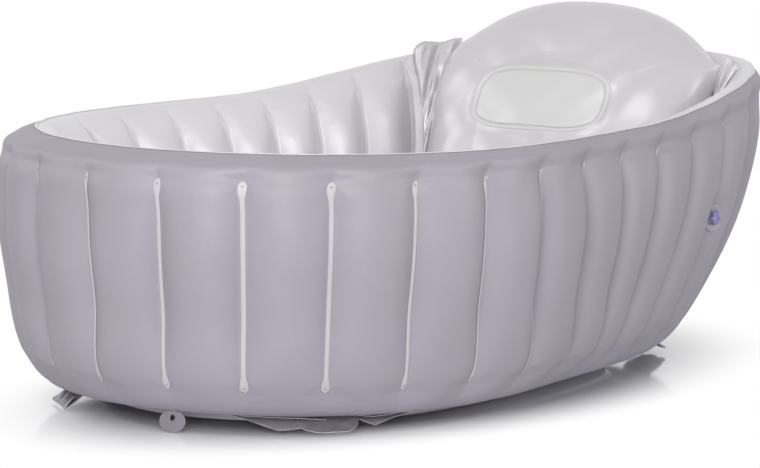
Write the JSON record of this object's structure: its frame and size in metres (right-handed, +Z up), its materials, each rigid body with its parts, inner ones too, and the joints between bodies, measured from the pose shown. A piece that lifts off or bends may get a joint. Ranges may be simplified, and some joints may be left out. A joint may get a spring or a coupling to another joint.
{
  "type": "inflatable_bathtub",
  "caption": "Inflatable baby bathtub with a ribbed air wall, an air floor, a leaning air backrest, push-in valves and a drain plug.",
  "frame": {"origin": "Centre of the tub's length over its bulge, on the middle line, at the ground under the bottom sheet", "axes": "+X towards the head end with the backrest, +Y away from the wall's valve, +Z up"},
  "size_m": [0.9755, 0.5822, 0.3707],
  "materials": {
    "outer_film": "soft satin vinyl film",
    "pearl_film": "glossy pearl vinyl film",
    "inner_film": "clear vinyl film",
    "valve_vinyl": "clear soft vinyl",
    "cap_vinyl": "glossy lilac vinyl",
    "panel_film": "glossy printed film, left bare"
  },
  "bodies": {
    "tub": {"wall_outer_skin": "outer_film", "wall_inner_skin": "pearl_film", "wall_web_01": "inner_film", "wall_web_02": "inner_film", "wall_web_03": "inner_film", "wall_web_04": "inner_film", "wall_web_05": "inner_film", "wall_web_06": "inner_film", "wall_web_07": "inner_film", "wall_web_08": "inner_film", "wall_web_09": "inner_film", "wall_web_10": "inner_film", "wall_web_11": "inner_film", "wall_web_12": "inner_film", "wall_web_13": "inner_film", "wall_web_14": "inner_film", "wall_web_15": "inner_film", "wall_web_16": "inner_film", "wall_web_17": "inner_film", "wall_web_18": "inner_film", "wall_web_19": "inner_film", "wall_web_20": "inner_film", "wall_web_21": "inner_film", "wall_web_22": "inner_film", "wall_web_23": "inner_film", "wall_web_24": "inner_film", "wall_web_25": "inner_film", "wall_web_26": "inner_film", "wall_web_27": "inner_film", "wall_web_28": "inner_film", "wall_web_29": "inner_film", "wall_web_30": "inner_film", "floor_top_skin": "pearl_film", "floor_bottom_sheet": "outer_film", "floor_edge_web": "inner_film", "floor_centre_web": "inner_film", "backrest_front_skin": "pearl_film", "backrest_rear_skin": "pearl_film", "backrest_panel": "panel_film", "gusset_near": "pearl_film", "gusset_far": "pearl_film", "wall_valve_flange": "valve_vinyl", "backrest_valve_flange": "valve_vinyl", "floor_valve_flange": "valve_vinyl", "drain_socket": "valve_vinyl", "base_seam_skirt": "outer_film"},
    "wall_valve_stem": {"wall_valve_stem": "valve_vinyl"},
    "wall_valve_cap": {"wall_valve_cap": "cap_vinyl"},
    "wall_valve_flap": {"wall_valve_flap": "valve_vinyl"},
    "backrest_valve_stem": {"backrest_valve_stem": "valve_vinyl"},
    "backrest_valve_cap": {"backrest_valve_cap": "cap_vinyl"},
    "backrest_valve_flap": {"backrest_valve_flap": "valve_vinyl"},
    "floor_valve_stem": {"floor_valve_stem": "valve_vinyl"},
    "floor_valve_cap": {"floor_valve_cap": "cap_vinyl"},
    "floor_valve_flap": {"floor_valve_flap": "valve_vinyl"},
    "drain_plug": {"drain_plug": "cap_vinyl"},
    "foot_tab": {"foot_tab": "outer_film"},
    "near_corner_tab": {"near_corner_tab": "outer_film"},
    "far_corner_tab": {"far_corner_tab": "outer_film"},
    "head_tab": {"head_tab": "outer_film"}
  },
  "joints": [
    {"name": "wall_valve_stem_slide", "type": "slide", "parent": "tub", "child": "wall_valve_stem", "axis": [-0.1542, -0.9875, -0.0328], "range_m": [0, 0.008]},
    {"name": "wall_valve_cap_hinge", "type": "hinge", "parent": "wall_valve_stem", "child": "wall_valve_cap", "pos_m": [0.23665, -0.25245, 0.16331], "axis": [-0.0637, -0.0232, 0.9977], "range_deg": [0, 110]},
    {"name": "wall_valve_flap_hinge", "type": "hinge", "parent": "wall_valve_stem", "child": "wall_valve_flap", "pos_m": [0.23614, -0.23821, 0.1636], "axis": [-0.0637, -0.0232, 0.9977], "range_deg": [-35, 0]},
    {"name": "backrest_valve_stem_slide", "type": "slide", "parent": "tub", "child": "backrest_valve_stem", "axis": [0.9528, 0, -0.3036], "range_m": [0, 0.008]},
    {"name": "backrest_valve_cap_hinge", "type": "hinge", "parent": "backrest_valve_stem", "child": "backrest_valve_cap", "pos_m": [0.43464, 0.0085, 0.3139], "axis": [0.3036, 0, 0.9528], "range_deg": [0, 110]},
    {"name": "backrest_valve_flap_hinge", "type": "hinge", "parent": "backrest_valve_stem", "child": "backrest_valve_flap", "pos_m": [0.4213, 0.0058, 0.31815], "axis": [0.3036, 0, 0.9528], "range_deg": [-35, 0]},
    {"name": "floor_valve_stem_slide", "type": "slide", "parent": "tub", "child": "floor_valve_stem", "axis": [0, 0, 1], "range_m": [0, 0.008]},
    {"name": "floor_valve_cap_hinge", "type": "hinge", "parent": "floor_valve_stem", "child": "floor_valve_cap", "pos_m": [-0.2535, 0.075, 0.0662], "axis": [0, -1, 0], "range_deg": [0, 110]},
    {"name": "floor_valve_flap_hinge", "type": "hinge", "parent": "floor_valve_stem", "child": "floor_valve_flap", "pos_m": [-0.2508, 0.075, 0.0522], "axis": [0, -1, 0], "range_deg": [-35, 0]},
    {"name": "drain_plug_slide", "type": "slide", "parent": "tub", "child": "drain_plug", "axis": [0, 0, 1], "range_m": [0, 0.02]},
    {"name": "foot_tab_hinge", "type": "hinge", "parent": "tub", "child": "foot_tab", "pos_m": [-0.42537, -0.02569, 0.02087], "axis": [0.1218, -0.9926, 0], "range_deg": [-60, 60]},
    {"name": "near_corner_tab_hinge", "type": "hinge", "parent": "tub", "child": "near_corner_tab", "pos_m": [-0.34612, -0.14929, 0.01806], "axis": [0.7072, -0.707, 0], "range_deg": [-25, 0]},
    {"name": "far_corner_tab_hinge", "type": "hinge", "parent": "tub", "child": "far_corner_tab", "pos_m": [-0.3566, 0.138, 0.01806], "axis": [-0.6526, -0.7577, 0], "range_deg": [-25, 0]},
    {"name": "head_tab_hinge", "type": "hinge", "parent": "tub", "child": "head_tab", "pos_m": [0.29731, -0.12094, 0.02048], "axis": [0.5107, 0.8597, 0], "range_deg": [-30, 0]}
  ]
}
